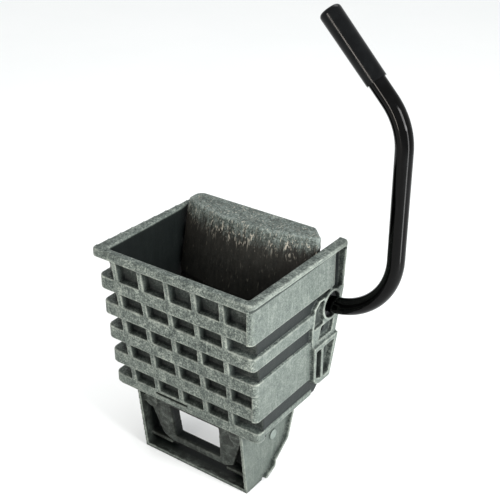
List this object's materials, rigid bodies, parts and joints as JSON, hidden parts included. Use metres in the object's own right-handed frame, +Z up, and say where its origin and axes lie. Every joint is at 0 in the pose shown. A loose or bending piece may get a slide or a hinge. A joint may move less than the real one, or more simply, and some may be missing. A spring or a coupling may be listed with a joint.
{
  "type": "mop wringer",
  "caption": "Side-press mop wringer: open moulded basket with a ribbed front and lower bracket, a swinging press plate and a bent tube handle with a grip.",
  "frame": {"origin": "middle of the underside of the rear seat bar, which rests on the bucket's rim", "axes": "+X to the side that the handle is on, +Y from the latticed front to the open back, +Z up"},
  "size_m": [0.4007, 0.2405, 0.7107],
  "materials": {
    "frame_foam": "mottled grey structural foam, as moulded",
    "plate_foam": "mottled dark grey structural foam, scuffed",
    "black_acetal": "moulded black acetal",
    "black_rubber": "moulded black rubber",
    "zinc_steel": "zinc-plated steel",
    "bright_steel": "plain steel, lightly oiled",
    "white_nylon": "natural nylon",
    "black_enamel": "gloss black powder coat on steel tube",
    "black_vinyl": "dipped black vinyl, satin"
  },
  "bodies": {
    "frame": {"wringer_frame": "frame_foam", "shaft_bushing_left": "black_acetal", "shaft_bushing_right": "black_acetal", "stop_bumper_left": "black_rubber", "stop_bumper_right": "black_rubber", "return_spring_left": "zinc_steel", "return_spring_right": "zinc_steel", "spring_anchor_left": "zinc_steel", "spring_anchor_right": "zinc_steel"},
    "press": {"press_plate": "plate_foam", "cam_strip_left": "white_nylon", "cam_strip_right": "white_nylon", "strip_screws_left": "zinc_steel", "strip_screws_right": "zinc_steel", "pivot_pin_left": "frame_foam", "pivot_pin_right": "frame_foam"},
    "handle": {"handle_tube": "black_enamel", "hand_grip": "black_vinyl", "tube_plug": "black_vinyl", "shaft_washer": "zinc_steel", "cotter_pin": "zinc_steel", "crank_arm_left": "bright_steel", "crank_arm_right": "bright_steel", "arm_bolt_left": "zinc_steel", "arm_bolt_right": "zinc_steel", "arm_nut_left": "zinc_steel", "arm_nut_right": "zinc_steel", "roller_pin_left": "bright_steel", "roller_pin_right": "bright_steel", "roller_clip_left": "zinc_steel", "roller_clip_right": "zinc_steel"},
    "roller_left": {"cam_roller_left": "white_nylon"},
    "roller_right": {"cam_roller_right": "white_nylon"}
  },
  "joints": [
    {"name": "handle_turn", "type": "hinge", "parent": "frame", "child": "handle", "pos_m": [0, 0.01, 0.121], "axis": [1, 0, 0], "range_deg": [0, 95], "stiffness_Nm_per_rad": 3, "springref_deg": -22.92},
    {"name": "press_swing", "type": "hinge", "parent": "frame", "child": "press", "pos_m": [0, -0.086, -0.075], "axis": [1, 0, 0], "range_deg": [0, 19.05]},
    {"name": "roller_left_spin", "type": "hinge", "parent": "handle", "child": "roller_left", "pos_m": [-0.0617, 0.00477, 0.18077], "axis": [1, 0, 0], "continuous": true},
    {"name": "roller_right_spin", "type": "hinge", "parent": "handle", "child": "roller_right", "pos_m": [0.0617, 0.00477, 0.18077], "axis": [1, 0, 0], "continuous": true}
  ],
  "couplings": [
    {"joint": "press_swing", "follows": "handle_turn", "ratio": 0.2}
  ]
}
